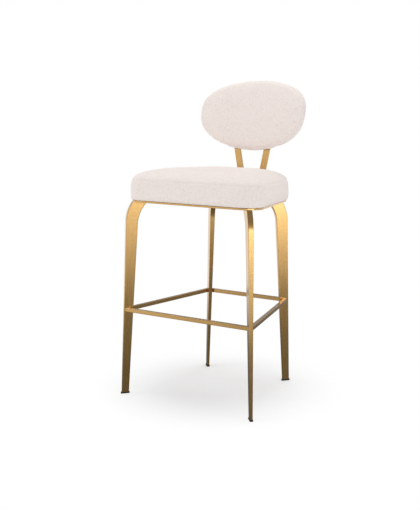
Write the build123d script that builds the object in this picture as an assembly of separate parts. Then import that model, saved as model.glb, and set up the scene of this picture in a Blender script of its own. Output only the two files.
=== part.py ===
from build123d import *
import os
from math import asin, atan, atan2, cos, degrees, radians, sin, sqrt, tan

# Bar stool with a footrest, in millimetres, +Z up, the sitter facing -Y.
# It is laid out from the floor point midway between the four feet. At the end the whole
# stool is moved along Y, so that its origin lies under the middle of its outline.

# Stance: outer edges of the feet on the floor
foot_front_half = 255.0
foot_rear_half = 173.0
foot_depth = 430.0

# Legs: tapered rectangular tubes, set diagonally and bent inwards under the seat frame
leg_turn = 42.0
leg_lean_side = 1.63
leg_lean_front = 1.68
leg_lean_rear = 0.13
leg_depth_foot = 24.5
leg_depth_bend = 40.5
leg_width_foot = 8.5
leg_width_bend = 17.9
leg_bend_radius = 116.0
leg_bend_drop = 66.0
leg_bend_sweep = 60.0
leg_inner_radius = 115.0
leg_inner_lead = 8.0
leg_inner_sweep = 80.0
leg_wall = 1.5
leg_edge_radius = 2.0
leg_spare = 20.0

# Glides: plastic caps with a pad on the floor and a stem inside the tube
glide_height = 4.5
glide_overhang_depth = 2.8
glide_overhang_width = 1.2
glide_corner = 3.0
glide_stem = 14.0
glide_clearance = 0.15

# Footrest: square tubes butted between the legs
footrest_height = 290.0
footrest_bar = 13.0
footrest_wall = 1.5
footrest_edge_radius = 1.2
footrest_inset = 7.5

# Seat frame: one flat plate ring, sloping down towards the rear
frame_height = 657.0
seat_slope = 2.0
frame_thickness = 6.0
frame_rail = 40.0
frame_corner_radius = 62.0
frame_window_radius = 120.0
frame_margin_front = -1.5
frame_margin_rear = 7.0
frame_rear_spread = 8.0
frame_edge_radius = 1.0

# Seat cushion: board, foam, and a sewn cover of a side band and a top panel
dust_cover_thickness = 0.5
dust_cover_inset = 12.0
cover_fabric = 2.0
cover_turn_under = 36.0
seat_board_thickness = 12.0
seat_tuck = 1.0
seat_bulge = 8.0
seat_seam_bulge = 6.0
seat_band_height = 66.5
seat_crown_rise = 39.0
seat_crown_reach = 146.0
seat_crown_squareness = 0.72
soft_clearance = 0.3

# Seat fasteners: countersunk bolts from below into T-nuts on the board
bolt_diameter = 6.0
bolt_clearance = 0.2
bolt_head_diameter = 12.0
bolt_head_height = (bolt_head_diameter - bolt_diameter) / 2
bolt_key_across = 4.0
bolt_key_depth = 2.2
bolt_front_half = 120.0
bolt_rear_half = 85.0
t_nut_barrel = 8.0
t_nut_barrel_length = 9.5
t_nut_flange = 19.0
t_nut_flange_thickness = 1.5

# Back support: an angle under the rear rail, and two flat stays that spread upwards
angle_thickness = 4.0
angle_half_length = 60.0
angle_flange_height = 32.0
angle_bend_radius = 6.0
angle_bolt_half = 40.0
stay_width = 23.0
stay_thickness = 7.0
stay_half_gap = 25.1
stay_splay = 11.13
stay_reach = 88.0
stay_slot_clearance = 0.4

# Back: an oval pad on a curved board, leaning back from the stays
back_width = 409.0
back_height = 251.5
back_thickness = 54.0
back_curve_radius = 490.0
back_rake = 14.0
back_setback = 231.0
back_rise = 173.2
back_seam = -12.0
back_seam_gap = 0.3
back_shoulder = 0.8
back_rim = 0.85
back_taper = 0.6
back_fullness = 0.8
back_slices = 11
back_end_angle = 85.0
back_board_thickness = 9.0
back_board_offset = -5.0
back_board_inset = 27.0
block_half_length = 90.0
block_height = 86.0
block_bottom = 26.0
block_rear = 2.0
screw_diameter = 5.0
screw_pilot_clearance = 0.1
screw_head_diameter = 9.5
screw_head_height = 3.0
screw_length = 20.0
screw_heights = (46.0, 74.0)

# Feet in plan: the signs of X and Y for each leg
legs = {
    "front_left": (-1, -1),
    "front_right": (1, -1),
    "rear_right": (1, 1),
    "rear_left": (-1, 1),
}

seat_place = Location((0, 0, frame_height), (-seat_slope, 0, 0))
seat_plane = Plane(seat_place)
back_place = seat_place * Location((0, back_setback, back_rise), (-back_rake, 0, 0))
nodes = {}


def leg_plane(side, end):
    """Plane at a foot's outer edge: X points outwards, Z runs up the leaning leg."""
    outward = Vector(side * sin(radians(leg_turn)), end * cos(radians(leg_turn)), 0)
    fore_lean = leg_lean_front if end < 0 else leg_lean_rear
    axis = Vector(-side * tan(radians(leg_lean_side)), -end * tan(radians(fore_lean)), 1).normalized()
    half = foot_front_half if end < 0 else foot_rear_half
    across = axis.cross(outward).normalized()
    foot = Vector(side * half, end * foot_depth / 2, 0)
    return Plane(origin=foot, x_dir=across.cross(axis), z_dir=axis)


def leg_top_height(end):
    """Height of the sloping seat frame above the front or rear feet."""
    return frame_height - end * foot_depth / 2 * tan(radians(seat_slope))


def leg_form(end, inset=0.0):
    """Tapered bar with a bend at its head, drawn in by an inset on every face."""
    bend_start = leg_top_height(end) - leg_bend_drop
    depth_rate = (leg_depth_bend - leg_depth_foot) / bend_start
    width_rate = (leg_width_bend - leg_width_foot) / bend_start
    taper = atan(depth_rate)
    inner_start = bend_start - leg_inner_lead
    inner_face = Vector(-leg_depth_foot - depth_rate * inner_start, inner_start)
    inner_centre = inner_face - Vector(cos(taper), sin(taper)) * leg_inner_radius
    outer_centre = Vector(-leg_bend_radius, bend_start)
    outer_bend = CenterArc(outer_centre, leg_bend_radius - inset, 0, leg_bend_sweep)
    inner_bend = CenterArc(
        inner_centre, leg_inner_radius + inset, leg_inner_sweep, degrees(taper) - leg_inner_sweep
    )
    foot_outer = Vector(-inset, -leg_spare)
    inner_end = inner_bend @ 1
    foot_inner = Vector(inner_end.X + depth_rate * (inner_end.Y + leg_spare), -leg_spare)
    profile = make_face([
        Line(foot_outer, outer_bend @ 0),
        outer_bend,
        Line(outer_bend @ 1, inner_bend @ 0),
        inner_bend,
        Line(inner_bend @ 1, foot_inner),
        Line(foot_inner, foot_outer),
    ])
    top = bend_start + leg_bend_radius
    half_low = (leg_width_foot - width_rate * leg_spare) / 2 - inset
    half_top = (leg_width_foot + width_rate * top) / 2 - inset
    wedge = Polygon(
        (-half_low, -leg_spare), (half_low, -leg_spare), (half_top, top), (-half_top, top), align=None
    )
    side_view = extrude(Plane.XZ * profile, amount=leg_width_bend, both=True)
    edge_view = extrude(Plane.YZ * wedge, amount=2 * leg_bend_radius, both=True)
    return side_view & edge_view


def soften_leg(bar):
    """Round the four long edges of a leg."""
    shortest = 1.1 * leg_depth_bend
    long_edges = [
        edge for edge in bar.edges()
        if abs((edge % 0.5).Y) < 0.5
        and edge.length > shortest
        and edge.center().Z > 0
    ]
    return fillet(long_edges, leg_edge_radius)


def below_seat(shape):
    return split(shape, bisect_by=seat_plane, keep=Keep.BOTTOM)


def between_heights(shape, low, high):
    upper = split(shape, bisect_by=Plane((0, 0, low)), keep=Keep.TOP)
    return split(upper, bisect_by=Plane((0, 0, high)), keep=Keep.BOTTOM)


# Legs and glides
leg_bars = {}
for name, (side, end) in legs.items():
    place = leg_plane(side, end)
    bar = place * soften_leg(leg_form(end))
    cavity = place * leg_form(end, leg_wall)
    tube = split(below_seat(bar - cavity), bisect_by=Plane((0, 0, glide_height)), keep=Keep.TOP)
    leg_bars[name] = bar
    nodes["leg_" + name] = tube

    pad_centre = place.origin - place.x_dir * leg_depth_foot / 2
    pad_plane = Plane(
        origin=(pad_centre.X, pad_centre.Y, 0), x_dir=(place.x_dir.X, place.x_dir.Y, 0), z_dir=(0, 0, 1)
    )
    pad_outline = RectangleRounded(
        leg_depth_foot + 2 * glide_overhang_depth, leg_width_foot + 2 * glide_overhang_width, glide_corner
    )
    pad = extrude(pad_plane * pad_outline, amount=glide_height)
    stem_form = place * leg_form(end, leg_wall + glide_clearance)
    stem = between_heights(stem_form, glide_height, glide_height + glide_stem)
    nodes["foot_glide_" + name] = pad + stem


# Footrest
def footrest_point(name):
    """Where a footrest bar's axis runs into a leg."""
    place = leg_plane(*legs[name])
    height = footrest_height + footrest_bar / 2
    point = place.origin + place.z_dir * (height / place.z_dir.Z) - place.x_dir * footrest_inset
    return Vector(point.X, point.Y, height)


def footrest_tube(first, second):
    """Square tube between two legs, its ends cut to their sides."""
    start = footrest_point(first)
    along = footrest_point(second) - start
    section = Plane(origin=start, x_dir=(0, 0, 1), z_dir=along.normalized())
    bore = footrest_bar - 2 * footrest_wall
    outline = RectangleRounded(footrest_bar, footrest_bar, footrest_edge_radius)
    outside = extrude(section * outline, along.length)
    inside = extrude(section * Rectangle(bore, bore), along.length)
    return outside - inside - leg_bars[first] - leg_bars[second]


nodes["footrest_front"] = footrest_tube("front_left", "front_right")
nodes["footrest_right"] = footrest_tube("front_right", "rear_right")
nodes["footrest_rear"] = footrest_tube("rear_right", "rear_left")
nodes["footrest_left"] = footrest_tube("rear_left", "front_left")


# Seat outline: a trapezoid with rounded corners over the heads of the legs
def frame_corner(name):
    """Centre of the frame's rounded corner over a leg, in the plane of the seat."""
    side, end = legs[name]
    place = leg_plane(side, end)
    head = place.origin + place.z_dir * leg_top_height(end)
    setback = leg_bend_radius - sqrt(leg_bend_radius ** 2 - leg_bend_drop ** 2)
    margin = frame_margin_front if end < 0 else frame_margin_rear
    spread = 0 if end < 0 else side * frame_rear_spread
    centre = head - place.x_dir * (setback + frame_corner_radius - margin) + Vector(spread, 0, 0)
    return seat_plane.to_local_coords(centre)


front_corner = frame_corner("front_right")
rear_corner = frame_corner("rear_right")
side_angle = atan2(front_corner.X - rear_corner.X, rear_corner.Y - front_corner.Y)
front_edge = front_corner.Y - frame_corner_radius
rear_edge = rear_corner.Y + frame_corner_radius


def seat_outline(radius, inset=0.0):
    """Rounded trapezoid about the corner centres, its straight sides drawn in by an inset."""
    x_front = front_corner.X - inset * (1 + sin(side_angle)) / cos(side_angle)
    x_rear = rear_corner.X - inset * (1 - sin(side_angle)) / cos(side_angle)
    y_front = front_corner.Y + inset
    y_rear = rear_corner.Y - inset
    turn = degrees(side_angle)
    corners = [
        CenterArc((x_front, y_front), radius, -90, 90 + turn),
        CenterArc((x_rear, y_rear), radius, turn, 90 - turn),
        CenterArc((-x_rear, y_rear), radius, 90, 90 - turn),
        CenterArc((-x_front, y_front), radius, 180 - turn, 90 + turn),
    ]
    edges = []
    for corner, following in zip(corners, corners[1:] + corners[:1]):
        edges += [corner, Line(corner @ 1, following @ 0)]
    return make_face(edges)


def seat_plate(grow, low, high):
    """Flat plate with the seat's outline, wider than the frame by grow, between two heights."""
    return extrude(Pos(0, 0, low) * seat_outline(frame_corner_radius + grow), amount=high - low)


def posts(places, diameter, low, high):
    """Upright cylinders at the given places, between two heights."""
    return [Pos(x, y, (low + high) / 2) * Cylinder(diameter / 2, high - low) for x, y in places]


def countersinks(places, low, clearance=0.0):
    """Upright cones for flush bolt heads, widest at their lower end."""
    cone = Cone(bolt_head_diameter / 2 + clearance, bolt_diameter / 2 + clearance, bolt_head_height)
    return [Pos(x, y, low + bolt_head_height / 2) * cone for x, y in places]


# Seat frame, with countersunk holes for the bolts
seat_bolt_places = []
for side in (-1, 1):
    seat_bolt_places += [
        (side * bolt_front_half, front_edge + frame_rail / 2),
        (side * bolt_rear_half, rear_edge - frame_rail / 2),
    ]
angle_bolt_places = [(side * angle_bolt_half, rear_edge - frame_rail / 2) for side in (-1, 1)]
all_bolt_places = seat_bolt_places + angle_bolt_places
bolt_hole = bolt_diameter + 2 * bolt_clearance

window_inset = frame_rail + frame_window_radius - frame_corner_radius
window = extrude(seat_outline(frame_window_radius, window_inset), amount=frame_thickness)
frame_plate = seat_plate(0, 0, frame_thickness)
frame_rims = frame_plate.edges().filter_by(Axis.Z, reverse=True)
seat_frame = fillet(frame_rims, frame_edge_radius) - window
seat_frame -= posts(all_bolt_places, bolt_hole, 0, frame_thickness)
nodes["seat_frame"] = seat_place * (seat_frame - countersinks(seat_bolt_places, 0, bolt_clearance))

# Heights of the layers above the frame
dust_cover_top = frame_thickness + dust_cover_thickness
board_bottom = dust_cover_top + cover_fabric
board_top = board_bottom + seat_board_thickness
seam_height = dust_cover_top + seat_band_height

# Dust cover, between the frame and the turned-under cover
dust_cover = seat_plate(-dust_cover_inset, frame_thickness, dust_cover_top)
nodes["seat_dust_cover"] = seat_place * (
    dust_cover - posts(all_bolt_places, bolt_hole, frame_thickness, dust_cover_top)
)


# Seat cushion: a band with bulging sides, and a crowned top sewn to it along the seam
def band_form(skin=0.0):
    """Solid inside the side band, drawn in by the thickness of a skin."""
    sections = []
    for share, grow in ((0, seat_tuck), (0.3, seat_bulge), (0.68, seat_bulge), (1, seat_seam_bulge)):
        height = dust_cover_top + share * seat_band_height
        sections.append(Pos(0, 0, height) * seat_outline(frame_corner_radius + grow - skin))
    return loft(sections)


def crown_form(skin=0.0):
    """Solid under the top panel, an elliptic crown, drawn in by the thickness of a skin."""
    sections = []
    for angle in (0, 20, 40, 58, 75, 90):
        across = cos(radians(angle))
        upward = sin(radians(angle))
        slant = sqrt((seat_crown_rise * across) ** 2 + (seat_crown_reach * upward) ** 2)
        rise = seat_crown_rise * upward - skin * seat_crown_reach * upward / slant
        reach = seat_crown_reach * (1 - across)
        inset = seat_crown_squareness * reach
        skin_reach = skin * seat_crown_rise * across / slant
        radius = frame_corner_radius + seat_seam_bulge + inset - reach - skin_reach
        sections.append(Pos(0, 0, seam_height + rise) * seat_outline(radius, inset))
    return loft(sections)


lining = split(band_form(cover_fabric), bisect_by=Plane((0, 0, board_bottom)), keep=Keep.TOP)
opening = extrude(
    Pos(0, 0, dust_cover_top) * seat_outline(frame_corner_radius, cover_turn_under), amount=cover_fabric
)
bolt_gaps = posts(all_bolt_places, bolt_hole, dust_cover_top, board_bottom)
nodes["seat_cover_band"] = seat_place * (band_form() - lining - opening - bolt_gaps)
nodes["seat_cover_top"] = seat_place * (crown_form() - crown_form(cover_fabric))

t_nut_hole = t_nut_barrel + 2 * bolt_clearance
seat_board = seat_plate(seat_tuck - cover_fabric - soft_clearance, board_bottom, board_top)
nodes["seat_board"] = seat_place * (
    seat_board - posts(all_bolt_places, t_nut_hole, board_bottom, board_top)
)

flange_top = board_top + t_nut_flange_thickness
foam_skin = cover_fabric + soft_clearance
foam_block = split(band_form(foam_skin), bisect_by=Plane((0, 0, board_top)), keep=Keep.TOP)
foam_block += crown_form(foam_skin)
flange_pockets = posts(
    all_bolt_places, t_nut_flange + 2 * soft_clearance, board_top, flange_top + soft_clearance
)
nodes["seat_foam"] = seat_place * (foam_block - flange_pockets)


# Seat fasteners
def t_nuts(places):
    barrels = posts(places, t_nut_barrel, board_top - t_nut_barrel_length, board_top)
    flanges = posts(places, t_nut_flange, board_top, flange_top)
    bores = posts(places, bolt_hole, board_top - t_nut_barrel_length, flange_top)
    return Compound(children=[
        (barrel + flange - bore).solid() for barrel, flange, bore in zip(barrels, flanges, bores)
    ])


def bolts(places, seat):
    """Bolts with a head flush at the seat height and a hexagon socket."""
    solids = []
    for x, y in places:
        shank = posts([(x, y)], bolt_diameter, seat, flange_top)[0]
        head = countersinks([(x, y)], seat)[0]
        key = RegularPolygon(bolt_key_across / 2, 6, major_radius=False)
        socket = extrude(Pos(x, y, seat) * key, amount=bolt_key_depth)
        solids.append((shank + head - socket).solid())
    return Compound(children=solids)


nodes["seat_t_nuts"] = seat_place * t_nuts(all_bolt_places)
nodes["seat_bolts"] = seat_place * bolts(seat_bolt_places, 0)
nodes["back_mount_bolts"] = seat_place * bolts(angle_bolt_places, -angle_thickness)

# Back stays: side view and front view of a flat bar that spreads, then leans with the back
rake = radians(back_rake)
stay_centre = block_rear + stay_thickness / 2
stay_bend = Vector(back_setback + stay_centre * cos(rake), back_rise - stay_centre * sin(rake))
stay_foot = -angle_thickness


def stay_x(height):
    """Distance of a stay's axis from the middle, at a height above the frame's underside."""
    return stay_half_gap + height * tan(radians(stay_splay))


def stay_form(side, spare=0.0):
    """One stay in the frame of the seat, thickened on every side by a spare."""
    half = stay_thickness / 2 + spare
    lean = Vector(sin(rake), cos(rake))
    upper_normal = Vector(cos(rake), -sin(rake))
    mitre = Vector(1 + cos(rake), -sin(rake)) * (half / (1 + cos(rake)))
    head = stay_bend + lean * (stay_reach + spare)
    side_view = Polygon(
        (stay_bend.X - half, stay_foot),
        (stay_bend.X + half, stay_foot),
        stay_bend + mitre,
        head + upper_normal * half,
        head - upper_normal * half,
        stay_bend - mitre,
        align=None,
    )
    top = head.Y + half
    half_width = (stay_width / 2 + spare) / cos(radians(stay_splay))
    x_foot = stay_x(stay_foot)
    x_top = stay_x(top)
    front_view = Polygon(
        (side * (x_foot - half_width), stay_foot),
        (side * (x_foot + half_width), stay_foot),
        (side * (x_top + half_width), top),
        (side * (x_top - half_width), top),
        align=None,
    )
    bar = extrude(Plane.YZ * side_view, amount=back_width / 2, both=True)
    return bar & extrude(Plane.XZ * front_view, amount=2 * back_setback, both=True)


# Screws through the stays, in the frame of the back
screw_places = []
for side in (-1, 1):
    for height in screw_heights:
        screw_places.append((side * stay_x(back_rise + height * cos(rake)), height))
stay_rear = block_rear + stay_thickness


def rods(places, diameter, front, rear):
    """Cylinders across the back, from a front to a rear distance."""
    rod = Rot(90, 0, 0) * Cylinder(diameter / 2, rear - front)
    return [Pos(x, (front + rear) / 2, z) * rod for x, z in places]


screw_tip = stay_rear - screw_length
screw_hole = screw_diameter + 2 * screw_pilot_clearance
screw_shanks = rods(screw_places, screw_diameter, screw_tip, stay_rear)
screw_heads = rods(screw_places, screw_head_diameter, stay_rear, stay_rear + screw_head_height)
screws = [(shank + head).solid() for shank, head in zip(screw_shanks, screw_heads)]
nodes["back_screws"] = back_place * Compound(children=screws)

back_to_seat = Location((0, back_setback, back_rise), (-back_rake, 0, 0))
screw_holes = rods(screw_places, screw_hole, screw_tip, stay_rear)
for word, side in (("left", -1), ("right", 1)):
    stay = stay_form(side)
    nodes["back_stay_" + word] = seat_place * (stay - [back_to_seat * hole for hole in screw_holes])

# Mount angle: under the rear rail, its upright flange against the feet of the stays
flange_rear = stay_bend.X - stay_thickness / 2
angle_profile = Polygon(
    (rear_edge - frame_rail, -angle_thickness),
    (flange_rear, -angle_thickness),
    (flange_rear, angle_flange_height),
    (flange_rear - angle_thickness, angle_flange_height),
    (flange_rear - angle_thickness, 0),
    (rear_edge - frame_rail, 0),
    align=None,
)
angle = extrude(Plane.YZ * angle_profile, amount=angle_half_length, both=True)
angle_bend = angle.edges().filter_by(Axis.X).sort_by_distance((0, flange_rear, -angle_thickness))[0]
angle = fillet(angle_bend, angle_bend_radius)
angle -= posts(angle_bolt_places, bolt_hole, -angle_thickness, 0)
angle -= countersinks(angle_bolt_places, -angle_thickness, bolt_clearance)
nodes["back_mount_angle"] = seat_place * angle


# Back pad
def pad_slice(tall, thick):
    """Upright slice of the pad: two crowned faces and two round rims."""
    shoulder = back_shoulder * thick
    straight = tall - back_rim * shoulder
    return make_face([
        ThreePointArc((-shoulder, -straight), (-thick, 0), (-shoulder, straight)),
        ThreePointArc((-shoulder, straight), (0, tall), (shoulder, straight)),
        ThreePointArc((shoulder, straight), (thick, 0), (shoulder, -straight)),
        ThreePointArc((shoulder, -straight), (0, -tall), (-shoulder, -straight)),
    ])


def back_form(skin=0.0):
    """Oval pad bent round an upright axis, drawn in by the thickness of a skin."""
    slices = []
    for index in range(back_slices):
        angle = radians(back_end_angle * (2 * index / (back_slices - 1) - 1))
        x = (back_width / 2 - skin) * sin(angle)
        tall = (back_height / 2 - skin) * cos(angle) ** back_fullness
        thick = (back_thickness / 2 - skin) * cos(angle) ** back_taper
        turn = asin(x / back_curve_radius)
        bow = back_curve_radius * (cos(turn) - 1)
        place = Plane(
            origin=(x, bow, back_height / 2),
            x_dir=(sin(turn), cos(turn), 0),
            z_dir=(cos(turn), -sin(turn), 0),
        )
        slices.append(place * pad_slice(tall, thick))
    return loft(slices)


def back_drum(offset):
    """Solid drum about the pad's upright axis, reaching an offset behind the pad's middle."""
    drum = Cylinder(back_curve_radius + offset, 2 * back_height)
    return Pos(0, -back_curve_radius, back_height / 2) * drum


def back_oval(inset):
    """Oval bar across the back, inside the pad's outline by an inset."""
    oval = Ellipse(back_width / 2 - inset, back_height / 2 - inset)
    bar = extrude(Plane.XZ * oval, amount=back_curve_radius / 2, both=True)
    return Pos(0, 0, back_height / 2) * bar


def back_board_form(spare=0.0):
    """Curved plywood, thickened on every side by a spare."""
    rear = back_board_offset + spare
    front = back_board_offset - back_board_thickness - spare
    return (back_drum(rear) - back_drum(front)) & back_oval(back_board_inset - spare)


def block_form(spare=0.0):
    """Hardwood pad from the curved board to the flat stays."""
    depth = back_thickness
    slab = Box(2 * block_half_length + 2 * spare, depth, block_height + 2 * spare)
    slab = Pos(0, block_rear - depth / 2, block_bottom + block_height / 2) * slab
    return slab - back_drum(back_board_offset + soft_clearance - spare)


nodes["back_board"] = back_place * (back_board_form() - screw_holes)
nodes["back_fixing_block"] = back_place * (block_form() - screw_holes)

seat_to_back = back_to_seat.inverse()
stay_slots = [seat_to_back * stay_form(side, stay_slot_clearance) for side in (-1, 1)]
pocket_end = stay_rear + screw_head_height + soft_clearance
head_pockets = rods(screw_places, screw_head_diameter + 2 * soft_clearance, stay_rear, pocket_end)
foam = back_form(foam_skin)
front_foam = foam & back_drum(back_board_offset - soft_clearance / 2)
rear_foam = foam - back_drum(back_board_offset + soft_clearance / 2)
nodes["back_foam_front"] = back_place * (front_foam - back_board_form(soft_clearance))
nodes["back_foam_rear"] = back_place * (
    rear_foam - block_form(soft_clearance) - stay_slots - head_pockets
)

back_cover = back_form() - back_form(cover_fabric) - stay_slots
nodes["back_cover_front"] = back_place * (back_cover & back_drum(back_seam - back_seam_gap / 2))
nodes["back_cover_rear"] = back_place * (back_cover - back_drum(back_seam + back_seam_gap / 2))

# Origin on the floor, under the middle of the stool's outline
outline = Compound(children=[Compound(part.solids()) for part in nodes.values()]).bounding_box()
to_origin = Pos(0, -outline.center().Y, 0)

os.makedirs("parts", exist_ok=True)
for name, part in nodes.items():
    export_step(to_origin * Compound(part.solids()), f"parts/{name}.step")
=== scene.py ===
import math

import bmesh
import bpy
from mathutils import Matrix, Vector, noise


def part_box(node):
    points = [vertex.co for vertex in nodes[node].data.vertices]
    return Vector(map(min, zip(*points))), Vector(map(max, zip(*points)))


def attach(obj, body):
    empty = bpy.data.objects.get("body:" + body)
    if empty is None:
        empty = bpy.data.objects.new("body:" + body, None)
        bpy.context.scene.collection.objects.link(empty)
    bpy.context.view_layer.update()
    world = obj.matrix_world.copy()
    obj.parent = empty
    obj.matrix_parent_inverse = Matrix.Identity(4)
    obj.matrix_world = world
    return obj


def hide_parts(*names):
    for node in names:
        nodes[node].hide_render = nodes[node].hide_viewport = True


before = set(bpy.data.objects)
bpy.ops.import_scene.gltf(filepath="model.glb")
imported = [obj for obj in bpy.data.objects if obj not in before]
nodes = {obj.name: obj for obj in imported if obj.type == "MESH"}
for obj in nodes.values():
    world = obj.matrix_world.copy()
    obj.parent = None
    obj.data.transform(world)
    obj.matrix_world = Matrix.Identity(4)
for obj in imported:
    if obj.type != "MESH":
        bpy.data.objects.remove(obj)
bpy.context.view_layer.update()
scene = bpy.context.scene

# Camera: a little above seat height, to the right of the stool's front corner.
# Its place was worked out from the four feet and the footrest in the photograph.
photo_focal_pixels = 856.0
photo_tall_pixels = 510.0
sensor_size = 36.0
camera_yaw = math.radians(31.35)
camera_tilt = math.radians(10.32)
camera_right = 1.4739
camera_ahead = 2.4670
camera_height = 0.9989

foot_boxes = [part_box("foot_glide_front_right"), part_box("foot_glide_rear_right")]
feet_middle_y = sum(corner.y for box in foot_boxes for corner in box) / 4

camera_data = bpy.data.cameras.new("camera")
camera_data.sensor_fit = "AUTO"
camera_data.sensor_width = sensor_size
camera_data.lens = photo_focal_pixels / photo_tall_pixels * sensor_size
camera = bpy.data.objects.new("camera", camera_data)
scene.collection.objects.link(camera)
camera.location = (camera_right, feet_middle_y - camera_ahead, camera_height)
camera_aim = Vector((
    -math.sin(camera_yaw) * math.cos(camera_tilt),
    math.cos(camera_yaw) * math.cos(camera_tilt),
    -math.sin(camera_tilt),
))
camera.rotation_euler = camera_aim.to_track_quat("-Z", "Y").to_euler()
scene.camera = camera
scene.view_settings.view_transform = "Standard"


# Legs, footrest, seat frame, mount angle and stays: steel, plated in satin brass, brushed along
# each piece and lacquered. The brush lines give long faint streaks and soft stretched highlights,
# and the clear lacquer pales the brightest of them.
brass_warm = "d6ae6d"
brass_deep = "c99c56"
brass_roughness = 0.24
brush_line_spacing = 0.0012  # coarser than real brush lines, so that they show
brush_line_length = 0.09
brush_line_depth = 0.0004
brass_cloud_size = 0.111


def colour(hex_value):
    """An sRGB hex colour as linear RGBA."""
    channels = [int(hex_value[i:i + 2], 16) / 255 for i in (0, 2, 4)]
    linear = [c / 12.92 if c <= 0.04045 else ((c + 0.055) / 1.055) ** 2.4 for c in channels]
    return (*linear, 1.0)


def add_node(tree, kind, settings=None, inputs=None, stops=()):
    """Adds a node with its settings, its inputs as values or links, and a ramp's two colour stops."""
    node = tree.nodes.new(kind)
    for name, value in (settings or {}).items():
        setattr(node, name, value)
    for name, value in (inputs or {}).items():
        if isinstance(value, bpy.types.NodeSocket):
            tree.links.new(value, node.inputs[name])
        else:
            node.inputs[name].default_value = value
    for index, (position, hex_value) in enumerate(stops):
        node.color_ramp.elements[index].position = position
        node.color_ramp.elements[index].color = colour(hex_value)
    return node


def new_material(name):
    """An empty node material, with its tree and its output node."""
    material = bpy.data.materials.new(name)
    material.use_nodes = True
    tree = material.node_tree
    tree.nodes.clear()
    output = tree.nodes.new("ShaderNodeOutputMaterial")
    return material, tree, output


def brushed_brass(name, turn):
    """Satin brass, its brush lines along the X axis of a frame turned by the given angles."""
    material, tree, output = new_material(name)
    place = add_node(tree, "ShaderNodeTexCoord")
    lines = add_node(tree, "ShaderNodeMapping", {"vector_type": "TEXTURE"}, {
        "Vector": place.outputs["Object"],
        "Rotation": turn,
        "Scale": (brush_line_length, brush_line_spacing, brush_line_spacing),
    })
    streaks = add_node(tree, "ShaderNodeTexNoise", inputs={
        "Vector": lines.outputs["Vector"], "Scale": 1.0, "Detail": 3.0, "Roughness": 0.6,
    })
    clouds = add_node(tree, "ShaderNodeTexNoise", inputs={
        "Vector": place.outputs["Object"], "Scale": 1 / brass_cloud_size, "Detail": 2.0,
    })
    mottled = add_node(tree, "ShaderNodeMix", {"data_type": "FLOAT"}, {
        "Factor": 0.3, "A": streaks.outputs["Fac"], "B": clouds.outputs["Fac"],
    })
    tone = add_node(
        tree, "ShaderNodeValToRGB", inputs={"Fac": mottled.outputs["Result"]},
        stops=[(0.3, brass_deep), (0.7, brass_warm)],
    )
    rough = add_node(tree, "ShaderNodeMapRange", inputs={
        "Value": streaks.outputs["Fac"], "From Min": 0.3, "From Max": 0.7,
        "To Min": brass_roughness - 0.03, "To Max": brass_roughness + 0.04,
    })
    grooves = add_node(tree, "ShaderNodeBump", inputs={
        "Height": streaks.outputs["Fac"], "Strength": 0.08, "Distance": brush_line_depth,
    })
    shader = add_node(tree, "ShaderNodeBsdfPrincipled", inputs={
        "Base Color": tone.outputs["Color"],
        "Metallic": 1.0,
        "Roughness": rough.outputs["Result"],
        "Coat Weight": 0.8,
        "Coat Roughness": 0.2,
        "Normal": grooves.outputs["Normal"],
    })
    tree.links.new(shader.outputs["BSDF"], output.inputs["Surface"])
    return material


def dress(piece, material):
    """Gives a piece its one material."""
    piece.data.materials.clear()
    piece.data.materials.append(material)


upright_brass = brushed_brass("satin_brass_upright", (0, math.pi / 2, 0))
crosswise_brass = brushed_brass("satin_brass_crosswise", (0, 0, 0))
lengthwise_brass = brushed_brass("satin_brass_lengthwise", (0, 0, math.pi / 2))
corners = ("front_left", "front_right", "rear_left", "rear_right")
for corner in corners:
    dress(nodes["leg_" + corner], upright_brass)
for stay in ("back_stay_left", "back_stay_right"):
    dress(nodes[stay], upright_brass)
for bar in ("footrest_front", "footrest_rear", "seat_frame", "back_mount_angle"):
    dress(nodes[bar], crosswise_brass)
for bar in ("footrest_left", "footrest_right"):
    dress(nodes[bar], lengthwise_brass)


# Foot glides: moulded black nylon caps under the legs.
# Injection moulding leaves them matt, with a fine even grain and a slight scuff.
nylon_dark = "1f1b17"
nylon_worn = "3a342d"
nylon_grain = 0.0008  # coarser than a real mould's grain, so that it shows
nylon_grain_depth = 0.0002
nylon_scuff_size = 0.00625

glide_nylon, tree, output = new_material("moulded_black_nylon")
place = add_node(tree, "ShaderNodeTexCoord")
grain = add_node(tree, "ShaderNodeTexNoise", inputs={
    "Vector": place.outputs["Object"], "Scale": 1 / nylon_grain, "Detail": 2.0,
})
scuff = add_node(tree, "ShaderNodeTexNoise", inputs={
    "Vector": place.outputs["Object"], "Scale": 1 / nylon_scuff_size, "Detail": 4.0,
})
tone = add_node(
    tree, "ShaderNodeValToRGB", inputs={"Fac": scuff.outputs["Fac"]},
    stops=[(0.45, nylon_dark), (0.8, nylon_worn)],
)
pitted = add_node(tree, "ShaderNodeBump", inputs={
    "Height": grain.outputs["Fac"], "Strength": 0.3, "Distance": nylon_grain_depth,
})
shader = add_node(tree, "ShaderNodeBsdfPrincipled", inputs={
    "Base Color": tone.outputs["Color"], "Roughness": 0.55, "IOR": 1.53,
    "Normal": pitted.outputs["Normal"],
})
tree.links.new(shader.outputs["BSDF"], output.inputs["Surface"])
for corner in corners:
    dress(nodes["foot_glide_" + corner], glide_nylon)


# Seat board and back board: birch plywood, and the fixing block: beech. All raw and sanded.
# The grain runs from side to side, as fine darker lines in a pale wood.
birch_light = "d8bd8e"
birch_dark = "b8935f"
beech_light = "c99b6b"
beech_dark = "a5754a"
grain_line_spacing = 0.0025
grain_line_length = 0.06
grain_line_depth = 0.0003


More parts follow.
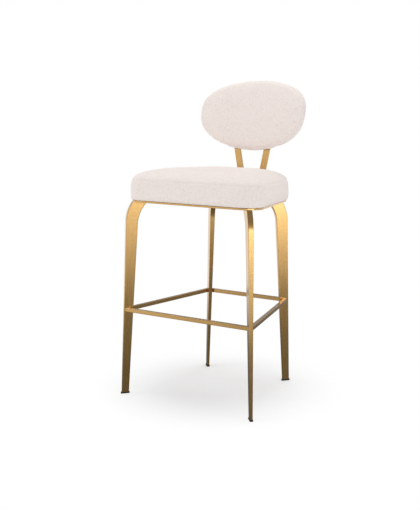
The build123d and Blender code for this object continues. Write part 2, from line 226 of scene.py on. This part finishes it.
def sawn_wood(name, light, dark):
    """Raw sanded wood with grain along X."""
    material, tree, output = new_material(name)
    place = add_node(tree, "ShaderNodeTexCoord")
    stretched = add_node(tree, "ShaderNodeMapping", {"vector_type": "TEXTURE"}, {
        "Vector": place.outputs["Object"],
        "Scale": (grain_line_length, grain_line_spacing, grain_line_spacing),
    })
    grain = add_node(tree, "ShaderNodeTexNoise", inputs={
        "Vector": stretched.outputs["Vector"], "Scale": 1.0, "Detail": 4.0, "Distortion": 0.4,
    })
    tone = add_node(
        tree, "ShaderNodeValToRGB", inputs={"Fac": grain.outputs["Fac"]},
        stops=[(0.35, dark), (0.62, light)],
    )
    pores = add_node(tree, "ShaderNodeBump", inputs={
        "Height": grain.outputs["Fac"], "Strength": 0.2, "Distance": grain_line_depth,
    })
    shader = add_node(tree, "ShaderNodeBsdfPrincipled", inputs={
        "Base Color": tone.outputs["Color"], "Roughness": 0.7, "IOR": 1.5,
        "Normal": pores.outputs["Normal"],
    })
    tree.links.new(shader.outputs["BSDF"], output.inputs["Surface"])
    return material


birch_plywood = sawn_wood("sanded_birch_plywood", birch_light, birch_dark)
dress(nodes["seat_board"], birch_plywood)
dress(nodes["back_board"], birch_plywood)
dress(nodes["back_fixing_block"], sawn_wood("sanded_beech", beech_light, beech_dark))


# Dust cover: thin black cambric, a pressed felt of fine threads, closing the seat's underside.
# It is matt and faintly dimpled in a small square pattern from the press.
cambric_dark = "141312"
cambric_light = "2a2826"
cambric_dimple = 0.002
cambric_dimple_depth = 0.0003
cambric_thread = 0.00143  # coarser than real threads, so that they show

cambric, tree, output = new_material("pressed_black_cambric")
place = add_node(tree, "ShaderNodeTexCoord")
dimples = add_node(tree, "ShaderNodeTexVoronoi", {"distance": "CHEBYCHEV"}, {
    "Vector": place.outputs["Object"], "Scale": 1 / cambric_dimple, "Randomness": 0.1,
})
threads = add_node(tree, "ShaderNodeTexNoise", inputs={
    "Vector": place.outputs["Object"], "Scale": 1 / cambric_thread, "Detail": 3.0,
})
tone = add_node(
    tree, "ShaderNodeValToRGB", inputs={"Fac": threads.outputs["Fac"]},
    stops=[(0.35, cambric_dark), (0.75, cambric_light)],
)
pressed = add_node(tree, "ShaderNodeBump", inputs={
    "Height": dimples.outputs["Distance"], "Strength": 0.4, "Distance": cambric_dimple_depth,
})
shader = add_node(tree, "ShaderNodeBsdfPrincipled", inputs={
    "Base Color": tone.outputs["Color"], "Roughness": 0.9, "IOR": 1.45,
    "Normal": pressed.outputs["Normal"],
})
tree.links.new(shader.outputs["BSDF"], output.inputs["Surface"])
dress(nodes["seat_dust_cover"], cambric)


# Bolts, T-nuts and screws: steel with bright zinc plate, turned and pressed.
# Zinc gives a cool grey sheen with a faint cloudy spangle.
zinc_light = "c4c5c6"
zinc_dark = "9a9b9d"
zinc_spangle = 0.004
zinc_roughness_least = 0.25
zinc_roughness_most = 0.42

zinc_plate, tree, output = new_material("bright_zinc_plate")
place = add_node(tree, "ShaderNodeTexCoord")
spangle = add_node(tree, "ShaderNodeTexNoise", inputs={
    "Vector": place.outputs["Object"], "Scale": 1 / zinc_spangle, "Detail": 3.0,
})
tone = add_node(
    tree, "ShaderNodeValToRGB", inputs={"Fac": spangle.outputs["Fac"]},
    stops=[(0.35, zinc_dark), (0.65, zinc_light)],
)
rough = add_node(tree, "ShaderNodeMapRange", inputs={
    "Value": spangle.outputs["Fac"],
    "To Min": zinc_roughness_least, "To Max": zinc_roughness_most,
})
shader = add_node(tree, "ShaderNodeBsdfPrincipled", inputs={
    "Base Color": tone.outputs["Color"],
    "Metallic": 1.0,
    "Roughness": rough.outputs["Result"],
})
tree.links.new(shader.outputs["BSDF"], output.inputs["Surface"])
for fastener in ("seat_bolts", "seat_t_nuts", "back_mount_bolts", "back_screws"):
    dress(nodes[fastener], zinc_plate)


# Seat cushion: foam on a plywood board, in a cream boucle cover of a side band and a top panel.
# The cover is stapled under the board, and sewn along a seam just under the rounded top edge.
boucle_light = "f2e8e3"
boucle_shade = "e6dad2"
boucle_loop = 0.0055
boucle_loop_height = 0.0014
boucle_row = 0.0075
boucle_fibre = 0.00111  # coarser than real fibres, so that they show
boucle_mottle = 0.0385
yarn_bend_size = 0.0111
yarn_bend_reach = 0.006
seat_slope = math.radians(2.0)
frame_height = 0.657
seat_origin = Vector((0, feet_middle_y, frame_height))
seat_up = Vector((0, math.sin(seat_slope), math.cos(seat_slope)))
seat_base_height = 0.0068
stapled_height = 0.0102
tucked_height = 0.0136
seat_seam_height = 0.073
seam_half_width = 0.004
seam_depth = 0.0018
merge_distance = 0.00001
cushion_voxel = 0.005
cushion_start_inset = 0.0015
cushion_swell_limit = 0.003
cloth_frames = 20
cloth_pressure = 4.0
cloth_steps = 4
ease_passes = 6
ease_share = 0.5
nub_size = 0.0075
nub_height = 0.0006


def boucle_cloth(name):
    """Looped wool boucle: rows of small curls, coloured darker in the gaps between them as painted
    shade, with random mottle and a soft pale sheen.
    """
    material, tree, output = new_material(name)
    place = add_node(tree, "ShaderNodeTexCoord")
    wander = add_node(tree, "ShaderNodeTexNoise", inputs={
        "Vector": place.outputs["Object"], "Scale": 1 / yarn_bend_size, "Detail": 2.0,
    })
    bent = add_node(tree, "ShaderNodeVectorMath", {"operation": "MULTIPLY_ADD"}, {
        0: wander.outputs["Color"], 1: [yarn_bend_reach] * 3, 2: place.outputs["Object"],
    })
    curls = add_node(tree, "ShaderNodeTexVoronoi", {"feature": "SMOOTH_F1"}, {
        "Vector": bent.outputs["Vector"], "Scale": 1 / boucle_loop, "Smoothness": 0.6,
    })
    # The wave node repeats its bands every pi / (10 * scale).
    rows = add_node(tree, "ShaderNodeTexWave", {"bands_direction": "X", "wave_type": "BANDS"}, {
        "Vector": bent.outputs["Vector"], "Scale": math.pi / (10 * boucle_row),
        "Distortion": 2.0, "Detail": 1.0, "Detail Scale": 2.0,
    })
    fibres = add_node(tree, "ShaderNodeTexNoise", inputs={
        "Vector": place.outputs["Object"], "Scale": 1 / boucle_fibre, "Detail": 2.0,
    })
    mottle = add_node(tree, "ShaderNodeTexNoise", inputs={
        "Vector": place.outputs["Object"], "Scale": 1 / boucle_mottle, "Detail": 3.0,
    })
    height = add_node(tree, "ShaderNodeMath", {"operation": "MULTIPLY_ADD"}, {
        0: curls.outputs["Distance"], 1: -1.1, 2: 1.0,
    })
    height = add_node(tree, "ShaderNodeMath", {"operation": "MULTIPLY_ADD"}, {
        0: rows.outputs["Fac"], 1: 0.25, 2: height.outputs["Value"],
    })
    height = add_node(tree, "ShaderNodeMath", {"operation": "MULTIPLY_ADD"}, {
        0: fibres.outputs["Fac"], 1: 0.25, 2: height.outputs["Value"],
    })
    # Painted shade: the curl height darkens the colour in the gaps between curls, and the mottle adds
    # random tone.
    shade = add_node(tree, "ShaderNodeMath", {"operation": "MULTIPLY_ADD"}, {
        0: mottle.outputs["Fac"], 1: 0.35, 2: height.outputs["Value"],
    })
    tone = add_node(
        tree, "ShaderNodeValToRGB", inputs={"Fac": shade.outputs["Value"]},
        stops=[(0.2, boucle_shade), (0.95, boucle_light)],
    )
    loops = add_node(tree, "ShaderNodeBump", inputs={
        "Height": height.outputs["Value"], "Strength": 0.42, "Distance": boucle_loop_height,
    })
    shader = add_node(tree, "ShaderNodeBsdfPrincipled", inputs={
        "Base Color": tone.outputs["Color"], "Roughness": 0.95, "IOR": 1.45,
        "Sheen Weight": 0.25, "Sheen Roughness": 0.5, "Sheen Tint": colour(boucle_light),
        "Normal": loops.outputs["Normal"],
    })
    tree.links.new(shader.outputs["BSDF"], output.inputs["Surface"])
    return material


def joined(*names):
    """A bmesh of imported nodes, their loose triangles merged."""
    mesh = bmesh.new()
    for name in names:
        mesh.from_mesh(nodes[name].data)
    bmesh.ops.remove_doubles(mesh, verts=mesh.verts, dist=merge_distance)
    return mesh


def new_piece(name, mesh):
    """An object at the origin, from a bmesh."""
    data = bpy.data.meshes.new(name)
    mesh.to_mesh(data)
    mesh.free()
    piece = bpy.data.objects.new(name, data)
    scene.collection.objects.link(piece)
    return piece


def apply_modifiers(piece):
    """Replaces a piece's mesh by what its modifiers make of it."""
    bpy.context.view_layer.update()
    shaped = piece.evaluated_get(bpy.context.evaluated_depsgraph_get())
    data = bpy.data.meshes.new_from_object(shaped)
    piece.modifiers.clear()
    piece.data = data


def remeshed(piece, voxel):
    """Even quads over a closed form."""
    remesh = piece.modifiers.new("remesh", "REMESH")
    remesh.mode = "VOXEL"
    remesh.voxel_size = voxel
    apply_modifiers(piece)


def swell(piece, held, limit):
    """Blows a pad up as cloth, with the points that held() names kept still."""
    start = [vertex.co.copy() for vertex in piece.data.vertices]
    group = piece.vertex_groups.new(name="held")
    group.add([i for i, co in enumerate(start) if held(co)], 1.0, "REPLACE")
    cloth = piece.modifiers.new("cloth", "CLOTH")
    cloth.settings.quality = cloth_steps
    cloth.settings.vertex_group_mass = "held"
    cloth.settings.use_pressure = True
    cloth.settings.uniform_pressure_force = cloth_pressure
    cloth.settings.effector_weights.gravity = 0.0
    cloth.collision_settings.use_collision = False
    cloth.point_cache.frame_start = 1
    cloth.point_cache.frame_end = cloth_frames
    for number in range(1, cloth_frames + 1):
        scene.frame_set(number)
    apply_modifiers(piece)
    piece.vertex_groups.clear()
    for vertex, before in zip(piece.data.vertices, start):
        move = vertex.co - before
        if move.length > limit:
            vertex.co = before + move * (limit / move.length)
    scene.frame_set(1)


def eased(piece, held):
    """Smooths out the small puckers of a blown-up pad, away from the points that held() names."""
    mesh = bmesh.new()
    mesh.from_mesh(piece.data)
    free = [vertex for vertex in mesh.verts if not held(vertex.co)]
    for step in range(ease_passes):
        bmesh.ops.smooth_vert(
            mesh, verts=free, factor=ease_share, use_axis_x=True, use_axis_y=True, use_axis_z=True,
        )
    mesh.to_mesh(piece.data)
    mesh.free()


def subdivided(piece):
    """One smooth subdivision, applied."""
    smooth = piece.modifiers.new("subdivision", "SUBSURF")
    smooth.levels = 1
    smooth.render_levels = 1
    apply_modifiers(piece)


def push(piece, distance):
    """Moves each point along its own normal by what distance() gives for it."""
    normals = [vertex.normal.copy() for vertex in piece.data.vertices]
    for vertex, normal in zip(piece.data.vertices, normals):
        vertex.co += normal * distance(vertex.co)


def fit_over(piece, *covers):
    """Pushes a pad out or in, by the mean gap between its sides and top and those of its covers."""
    lows, highs = zip(*(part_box(cover) for cover in covers))
    points = [vertex.co for vertex in piece.data.vertices]
    gaps = [
        max(high.x for high in highs) - max(co.x for co in points),
        min(co.x for co in points) - min(low.x for low in lows),
        max(high.z for high in highs) - max(co.z for co in points),
    ]
    push(piece, lambda co: sum(gaps) / len(gaps))


def nubs(co):
    """Height of the curled yarn at a point, as small lumps."""
    return nub_height * noise.noise(co / nub_size)


def groove(gap):
    """How deep a sewn seam draws the cloth in, at a gap from its line."""
    return -seam_depth * math.exp(-(gap / seam_half_width) ** 2)


def shade_smooth(piece):
    """Smooth shading over a whole piece."""
    piece.data.polygons.foreach_set("use_smooth", [True] * len(piece.data.polygons))


def seat_height(point):
    """Height of a point above the underside of the seat frame, square to the seat."""
    return (point - seat_origin).dot(seat_up)


def at_seat_base(point):
    """Whether a point lies on the turned-under edge, stapled to the board."""
    return seat_height(point) < stapled_height


def settle(piece):
    """Lays a pad's underside flat, just above the dust cover."""
    for vertex in piece.data.vertices:
        vertex.co += seat_up * max(0, seat_base_height - seat_height(vertex.co))


seat_mesh = joined("seat_cover_band", "seat_cover_top")
hull = bmesh.ops.convex_hull(seat_mesh, input=seat_mesh.verts)
within = hull["geom_interior"] + hull["geom_unused"]
spare = [part for part in within if isinstance(part, bmesh.types.BMVert)]
bmesh.ops.delete(seat_mesh, geom=spare, context="VERTS")
seat_cushion = new_piece("seat_cushion", seat_mesh)
remeshed(seat_cushion, cushion_voxel)
push(seat_cushion, lambda co: -cushion_start_inset if seat_height(co) > tucked_height else 0)
swell(seat_cushion, at_seat_base, cushion_swell_limit)
eased(seat_cushion, at_seat_base)
subdivided(seat_cushion)
fit_over(seat_cushion, "seat_cover_band", "seat_cover_top")
push(seat_cushion, lambda co: groove(seat_height(co) - seat_seam_height) + nubs(co))
settle(seat_cushion)
shade_smooth(seat_cushion)
boucle = boucle_cloth("cream_boucle")
dress(seat_cushion, boucle)
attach(seat_cushion, "root")
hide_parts("seat_cover_band", "seat_cover_top", "seat_foam")


# Back pad: foam on both sides of a curved plywood board, in two boucle panels.
# The front panel is sewn to the rear one along a seam just in front of the rim.
back_rake = seat_slope + math.radians(14.0)
back_setback = 0.231
back_rise = 0.1732
back_origin = seat_origin + Matrix.Rotation(-seat_slope, 3, "X") @ Vector((0, back_setback, back_rise))
back_up = Vector((0, math.sin(back_rake), math.cos(back_rake)))
back_rear = Vector((0, math.cos(back_rake), -math.sin(back_rake)))
back_curve_radius = 0.490
back_seam = -0.012
back_cover_thickness = 0.0023
stay_cut_height = 0.012
pad_voxel = 0.0042


def back_depth(point):
    """Distance of a point behind the pad's curved middle."""
    away = point - back_origin
    across = Vector((away.x, away.dot(back_rear) + back_curve_radius))
    return across.length - back_curve_radius


def at_stays(point):
    """Whether a point lies on the pad's foot, round the stays."""
    return (point - back_origin).dot(back_up) < stay_cut_height


pad_mesh = joined(
    "back_foam_front", "back_foam_rear", "back_board", "back_fixing_block", "back_screws",
)
stay_mesh = joined("back_stay_left", "back_stay_right")
bmesh.ops.bisect_plane(
    stay_mesh,
    geom=stay_mesh.verts[:] + stay_mesh.edges[:] + stay_mesh.faces[:],
    plane_co=back_origin + back_up * stay_cut_height,
    plane_no=back_up,
    clear_inner=True,
)
bmesh.ops.holes_fill(stay_mesh, edges=stay_mesh.edges)
stay_tops = bpy.data.meshes.new("stay_tops")
stay_mesh.to_mesh(stay_tops)
stay_mesh.free()
pad_mesh.from_mesh(stay_tops)
back_pad = new_piece("back_pad", pad_mesh)
remeshed(back_pad, pad_voxel)
push(back_pad, lambda co: back_cover_thickness - cushion_start_inset)
swell(back_pad, at_stays, cushion_swell_limit)
eased(back_pad, at_stays)
subdivided(back_pad)
fit_over(back_pad, "back_cover_front", "back_cover_rear")
push(back_pad, lambda co: groove(back_depth(co) - back_seam) + nubs(co))
shade_smooth(back_pad)
dress(back_pad, boucle)
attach(back_pad, "root")
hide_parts("back_cover_front", "back_cover_rear", "back_foam_front", "back_foam_rear")


# Floor and light: a plain pale floor that turns white away from the stool, in a white room. Painted
# reflection: the metal alone sees a darker grey floor beside the stool, white further off, and a dim
# ceiling, which darken the metal low down and where it faces up.
# The light is soft and even: the room, a lamp overhead, one at the front left and two low ones.
floor_reach = 12.0
shadow_middle = (-0.02, -0.01, 0)
floor_radius_shaded = 0.14
floor_radius_white = 0.47
floor_whiteness = 0.26
# Painted reflection: the metal alone sees a darker grey floor round this point, fading to white
# further off.
mirror_middle = (0.75, 0.2, 0)
mirror_radius_painted_dark = 1.05
mirror_radius_white = 2.5
pure_white = "ffffff"
floor_pale = "fcfcfc"
painted_reflection_grey = "7c7c7c"
room_strength = 0.72
# Painted reflection: the dim ceiling is seen only in the metal.
painted_reflection_ceiling = 0.3
ceiling_low = 0.0
ceiling_high = 0.27

floor_mesh = bmesh.new()
bmesh.ops.create_grid(floor_mesh, x_segments=1, y_segments=1, size=floor_reach)
floor = new_piece("floor", floor_mesh)
floor_paint, tree, output = new_material("pale_floor")
rays = add_node(tree, "ShaderNodeLightPath")
place = add_node(tree, "ShaderNodeTexCoord")
white = add_node(tree, "ShaderNodeEmission", inputs={"Color": colour(pure_white), "Strength": 1.0})
paint = add_node(tree, "ShaderNodeBsdfDiffuse", inputs={"Color": colour(floor_pale)})
# Painted reflection: a darker grey floor that only glossy rays see.
painted_reflection_paint = add_node(tree, "ShaderNodeBsdfDiffuse", inputs={"Color": colour(painted_reflection_grey)})


def fading(near, middle, start, end, least=0.0):
    """A floor surface that turns to white between two distances from a point, from a least share."""
    away = add_node(tree, "ShaderNodeVectorMath", {"operation": "DISTANCE"}, {
        0: place.outputs["Object"], 1: middle,
    })
    far = add_node(tree, "ShaderNodeMapRange", {"interpolation_type": "SMOOTHSTEP"}, {
        "Value": away.outputs["Value"], "From Min": start, "From Max": end, "To Min": least,
    })
    return add_node(tree, "ShaderNodeMixShader", inputs={
        "Fac": far.outputs["Result"], 1: near.outputs["BSDF"], 2: white.outputs["Emission"],
    })


pictured = fading(paint, shadow_middle, floor_radius_shaded, floor_radius_white, floor_whiteness)
mirrored = fading(painted_reflection_paint, mirror_middle, mirror_radius_painted_dark, mirror_radius_white)
seen = add_node(tree, "ShaderNodeMath", {"operation": "MAXIMUM"}, {
    0: rays.outputs["Is Camera Ray"], 1: rays.outputs["Is Transmission Ray"],
})
# Glossy rays get the painted reflection, and diffuse rays get the plain pale paint.
unseen = add_node(tree, "ShaderNodeMixShader", inputs={
    "Fac": rays.outputs["Is Glossy Ray"], 1: paint.outputs["BSDF"], 2: mirrored.outputs["Shader"],
})
surface = add_node(tree, "ShaderNodeMixShader", inputs={
    "Fac": seen.outputs["Value"], 1: unseen.outputs["Shader"], 2: pictured.outputs["Shader"],
})
tree.links.new(surface.outputs["Shader"], output.inputs["Surface"])
dress(floor, floor_paint)

world = bpy.data.worlds.new("studio")
scene.world = world
world.use_nodes = True
tree = world.node_tree
tree.nodes.clear()
rays = add_node(tree, "ShaderNodeLightPath")
place = add_node(tree, "ShaderNodeTexCoord")
aim = add_node(tree, "ShaderNodeSeparateXYZ", inputs={"Vector": place.outputs["Generated"]})
# Painted reflection: glossy rays see white at the horizon fading to a dim ceiling above, and other
# rays see the even room.
overhead = add_node(tree, "ShaderNodeMapRange", {"interpolation_type": "SMOOTHSTEP"}, {
    "Value": aim.outputs["Z"], "From Min": ceiling_low, "From Max": ceiling_high,
    "To Min": 1.0, "To Max": painted_reflection_ceiling,
})
room = add_node(tree, "ShaderNodeBackground", inputs={
    "Color": colour(pure_white), "Strength": room_strength,
})
white = add_node(tree, "ShaderNodeBackground", inputs={"Color": colour(pure_white), "Strength": 1.0})
painted_reflection_room = add_node(tree, "ShaderNodeBackground", inputs={
    "Color": colour(pure_white), "Strength": overhead.outputs["Result"],
})
seen = add_node(tree, "ShaderNodeMath", {"operation": "MAXIMUM"}, {
    0: rays.outputs["Is Camera Ray"], 1: rays.outputs["Is Transmission Ray"],
})
shone = add_node(tree, "ShaderNodeMixShader", inputs={
    "Fac": rays.outputs["Is Glossy Ray"],
    1: room.outputs["Background"],
    2: painted_reflection_room.outputs["Background"],
})
sky = add_node(tree, "ShaderNodeMixShader", inputs={
    "Fac": seen.outputs["Value"], 1: shone.outputs["Shader"], 2: white.outputs["Background"],
})
output = add_node(tree, "ShaderNodeOutputWorld", inputs={"Surface": sky.outputs["Shader"]})


def softbox(name, place, aim, size, power):
    """A square area lamp at a place, turned towards a point."""
    lamp = bpy.data.lights.new(name, "AREA")
    lamp.shape = "SQUARE"
    lamp.size = size
    lamp.energy = power
    holder = bpy.data.objects.new(name, lamp)
    scene.collection.objects.link(holder)
    holder.location = place
    holder.rotation_euler = (Vector(aim) - Vector(place)).to_track_quat("-Z", "Y").to_euler()


softbox("overhead_light", (0.1, 0.75, 3.0), (0, 0.05, 0.5), 1.3, 15.5)
softbox("front_left_light", (-2.6, -2.0, 2.2), (0, 0, 0.7), 1.6, 24)
softbox("low_right_light", (2.85, -1.05, 0.75), (0, 0, 0.6), 0.9, 7)
softbox("low_front_light", (2.4, -1.9, 0.6), (0, 0, 0.6), 0.5, 2.4)
